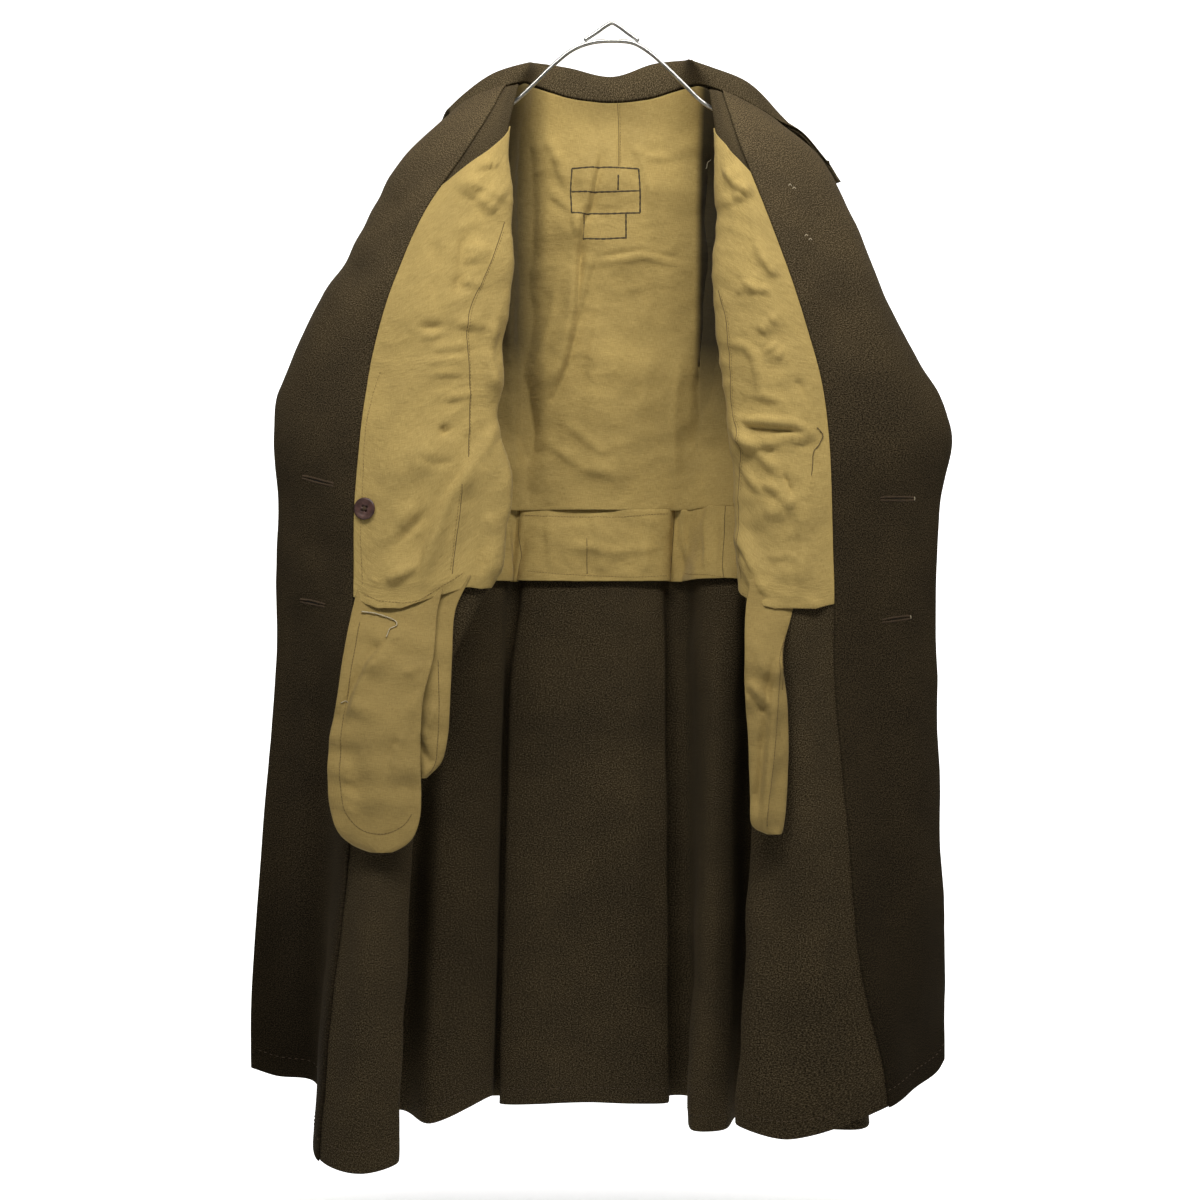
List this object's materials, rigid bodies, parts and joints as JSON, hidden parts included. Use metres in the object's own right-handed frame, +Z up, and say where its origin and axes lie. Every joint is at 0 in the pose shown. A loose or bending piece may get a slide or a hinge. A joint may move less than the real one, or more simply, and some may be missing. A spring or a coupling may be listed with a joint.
{
  "type": "officer coat on a wire hanger",
  "caption": "Long wool overcoat hanging open on a wire hanger, both fronts folded back to show the half lining, facings and pocket bags.",
  "frame": {"origin": "inside top of the hanger's eye, where a hook holds it", "axes": "+Z up along the coat's length; the open front faces -Y; +X to the right of someone who looks into the coat"},
  "size_m": [0.7463, 0.2508, 1.1966],
  "materials": {
    "wool": "heathered olive-brown melton, brushed",
    "facing": "the same melton, a little lighter",
    "lining": "creased khaki cotton twill",
    "button": "purple-brown, worn gloss",
    "wire": "pale plated wire"
  },
  "bodies": {
    "root": {"back": "wool", "front_left": "wool", "front_right": "wool", "facing_left": "facing", "facing_right": "facing", "collar": "wool", "sleeve_left": "wool", "sleeve_right": "wool", "lining_back": "lining", "lining_band": "lining", "lining_side_left": "lining", "lining_side_right": "lining", "lining_front_left": "lining", "lining_front_right": "lining", "pocket_bag_left": "lining", "pocket_bag_left_inner": "lining", "pocket_bag_right": "lining", "button_inner": "button", "button_left_1": "button", "button_left_2": "button", "button_right_1": "button", "button_right_2": "button", "hanger_arch": "wire", "hanger_eye": "wire"}
  },
  "joints": []
}
